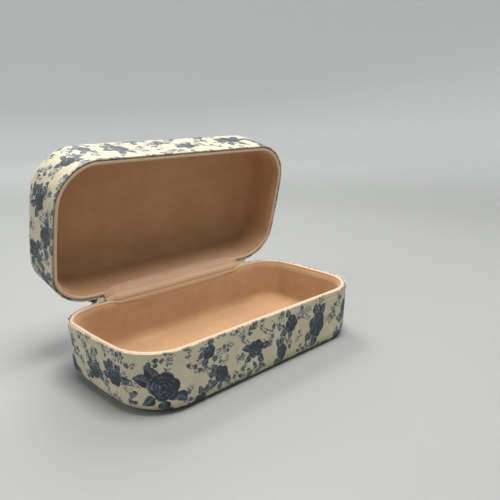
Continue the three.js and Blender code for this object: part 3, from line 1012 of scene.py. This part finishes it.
def print_over(cloth, seed):
    """Print for a narrow strip: roses and leaves along it."""
    rng = np.random.default_rng(seed)
    flat = np.column_stack([cloth[:, 0], cloth[:, 1], np.zeros(len(cloth))])
    canvas = Print(flat, np.tile([0.0, 0.0, 1.0], (len(flat), 1)))
    width = cloth[:, 1].max()
    low, high = cloth[:, 0].min(), cloth[:, 0].max()
    x = low + 2
    while x < high:
        target = np.array([x, rng.uniform(0.1, 0.9) * width, 0])
        at = int(((flat - target) ** 2).sum(1).argmin())
        if rng.random() < 0.4:
            rose(canvas, at, rng.uniform(2.2, 3.6), rng.uniform(0, 6), rng)
        else:
            leaf(canvas, at, rng.uniform(3, 5), rng.uniform(1.8, 2.8), rng.uniform(0, 6), rng, 0.35)
        x += rng.uniform(2.5, 5)
    return {"ink": canvas.ink, "tone": canvas.tone, "wear": np.zeros(len(cloth)), "cloth": cloth}


# The spine strip: its radius round the barrel, its thickness, and how much its ends taper
SPINE_RADIUS = 2.0
SPINE_THICK = 0.7
SPINE_TAPER = 1.15


def make_spine(gussets):
    """The printed strip outside the hinge, round its barrel."""
    y = -AXIS_BEHIND - COVER + 0.35
    flap = [[y, 3.0], [y, 2.75], [y + 0.12, 2.4], [y + 0.5, SPINE_RADIUS]]
    path = [[a, -h] for a, h in flap]
    path += across_hinge(lambda t: SPINE_RADIUS, 25, -math.pi / 2, math.pi / 2 - OPEN_ANGLE)
    path += [opened(a, h) for a, h in flap[::-1]]
    x = np.linspace(-SPINE_HALF, SPINE_HALF, 209)

    def squeeze(value, loop):
        wave = 0.05 * math.sin(value * 0.4) + 0.05 * math.sin(value * 0.17 + 2)
        wave -= SPINE_TAPER * smooth(HINGE_HALF + 0.2, SPINE_HALF, abs(value))
        r = np.linalg.norm(loop, axis=1, keepdims=True)
        return loop * (1 + wave * (loop[:, :1] > 0) / r)

    def extra(cloth):
        return print_over(cloth, 5)

    piece = strip("printed_spine_strip", path, SPINE_THICK, x, squeeze, PRINTED_SPINE, extra)
    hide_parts("spine_strip")
    blended(piece)


# The gussets: how far from the parting plane they join the rims, and their thickness
GUSSET_JOIN = 0.75
GUSSET_THICK = 0.5


def make_gusset(name, side, seed):
    """The folded end of the print between the two rims, beside the velour."""
    plan = Outline(0.5).at(0.45)
    back = plan[(plan[:, 1] > 0) & (plan[:, 0] > 0)]
    back = back[np.argsort(back[:, 0])]
    x = np.linspace(HINGE_HALF - 0.6, GUSSET_END, 40)
    edge_y = np.interp(x, back[:, 0], back[:, 1])
    points, cloth = [], []
    turns = np.linspace(0, 1, 13)
    for value, y in zip(x, edge_y):
        behind = y - AXIS_Y
        reach = math.hypot(behind, GUSSET_JOIN)
        a0 = math.pi + math.atan2(GUSSET_JOIN, -behind)
        a1 = math.pi - math.atan2(GUSSET_JOIN, -behind) - OPEN_ANGLE
        deep = 0.7 + 1.0 * (value - HINGE_HALF) / (GUSSET_END - HINGE_HALF)
        section = []
        for sheet_side in (0.0, -GUSSET_THICK):
            for t in turns if sheet_side == 0 else turns[::-1]:
                fold = deep * math.sin(math.pi * t) ** 0.8
                drawn = 3.0 * math.sin(math.pi * t) * smooth(GUSSET_END - 6, GUSSET_END, value)
                across = polar(reach - fold + sheet_side, a0 + (a1 - a0) * t)
                section.append([(value - drawn) * side, *across])
        points += section
        cloth += [[value, k * 0.35, 0] for k in range(len(section))]
    attributes = print_over(np.array(cloth), seed)
    piece = tube(name, np.array(points), 2 * len(turns), PRINTED_SPINE, attributes)
    blended(piece)
    return piece


# ------------------------------------------------------------------ the case

for half_name, half_facts in HALVES.items():
    make_cover(half_name, half_facts)
    make_lining(half_name, half_facts)
make_bridge()
make_spine([make_gusset("printed_gusset_left", -1, 31), make_gusset("printed_gusset_right", 1, 47)])

SHELL_STEEL = steel_material("stamped_steel", (0.55, 0.56, 0.57), 0.34, (900, 900, 900))
HINGE_STEEL = steel_material("rolled_steel", (0.62, 0.62, 0.61), 0.26, (120, 2400, 2400))
SPRING_STEEL = steel_material("spring_wire", (0.30, 0.31, 0.33), 0.24, (3000, 400, 400))
RIVET_STEEL = steel_material("rivet_steel", (0.68, 0.67, 0.64), 0.3, (1500, 300, 1500))
for node_name, node in frame["nodes"].items():
    finish = (
        SHELL_STEEL if "shell" in node_name
        else SPRING_STEEL if "spring" in node_name
        else RIVET_STEEL if "rivet" in node_name
        else HINGE_STEEL if "leaf" in node_name or "pin" in node_name
        else None
    )
    if finish:
        for material_slot in node.material_slots:
            material_slot.material = finish

# ------------------------------------------------------------------ stage, light and camera


def make_stage():
    """A plain pale floor that curves up all round, out of the light's way."""
    profile = [(0.0, 0.0), (0.4, 0.0), (0.8, 0.0), (1.15, 0.0)]
    bend = np.linspace(0.1, math.pi / 2, 16)
    profile += [(1.15 + 0.75 * math.sin(t), 0.75 - 0.75 * math.cos(t)) for t in bend]
    profile += [(1.9, 1.4), (1.9, 2.2)]
    count = 96
    angle = np.arange(count) * 2 * math.pi / count
    rings = np.array([[(r * math.cos(a), r * math.sin(a), z) for a in angle] for r, z in profile[1:]])
    points = np.concatenate([[[0, 0, 0]], rings.reshape(-1, 3)])
    quads = (ring_faces(count, len(rings), False) + 1).tolist()
    fan = [[1 + (i + 1) % count, 1 + i, 0] for i in range(count)]
    floor = make_mesh("studio_floor", points, quads + fan, floor_material())


def area_light(name, location, target, size, energy, colour):
    """A round lamp at location, turned to target."""
    light = bpy.data.lights.new(name, "AREA")
    light.shape = "DISK"
    light.size = size
    light.energy = energy
    light.color = colour
    lamp = bpy.data.objects.new(name, light)
    lamp.location = location
    lamp.rotation_euler = (Vector(target) - Vector(location)).to_track_quat("-Z", "Y").to_euler()
    bpy.context.scene.collection.objects.link(lamp)


make_stage()
area_light("overhead", (0.04, -0.17, 1.05), (0, 0, 0), 0.6, 15.6, (1.0, 0.985, 0.96))
area_light("rear_ceiling", (0.25, 0.62, 0.85), (0, 0, 0.05), 0.5, 7.0, (1.0, 0.99, 0.97))
area_light("left_window", (-1.1, 0.30, 0.70), (0, 0, 0.05), 0.8, 4.2, (0.95, 0.98, 1.0))
world = bpy.data.worlds.new("studio")
world.use_nodes = True
world.node_tree.nodes["Background"].inputs["Color"].default_value = (0.97, 0.985, 1.0, 1)
world.node_tree.nodes["Background"].inputs["Strength"].default_value = 0.15
bpy.context.scene.world = world
bpy.context.scene.view_settings.view_transform = "Standard"

# The photo's camera: where it looks from, its place and its lens
AZIMUTH, ELEVATION = math.radians(-44.57), math.radians(15.0)
CAMERA_AT = (-0.1999, -0.22675, 0.14008)
BACK = Vector((
    math.sin(AZIMUTH) * math.cos(ELEVATION),
    -math.cos(AZIMUTH) * math.cos(ELEVATION),
    math.sin(ELEVATION),
))
RIGHT = (-BACK).cross(Vector((0, 0, 1))).normalized()
UP = RIGHT.cross(-BACK)
camera_data = bpy.data.cameras.new("camera")
camera_data.lens = 40.33
camera_data.sensor_width = 36
camera_data.clip_start = 0.01
camera_data.clip_end = 10
camera = bpy.data.objects.new("camera", camera_data)
camera.matrix_world = Matrix((
    (RIGHT.x, UP.x, BACK.x, CAMERA_AT[0]),
    (RIGHT.y, UP.y, BACK.y, CAMERA_AT[1]),
    (RIGHT.z, UP.z, BACK.z, CAMERA_AT[2]),
    (0, 0, 0, 1),
))
bpy.context.scene.collection.objects.link(camera)
bpy.context.scene.camera = camera
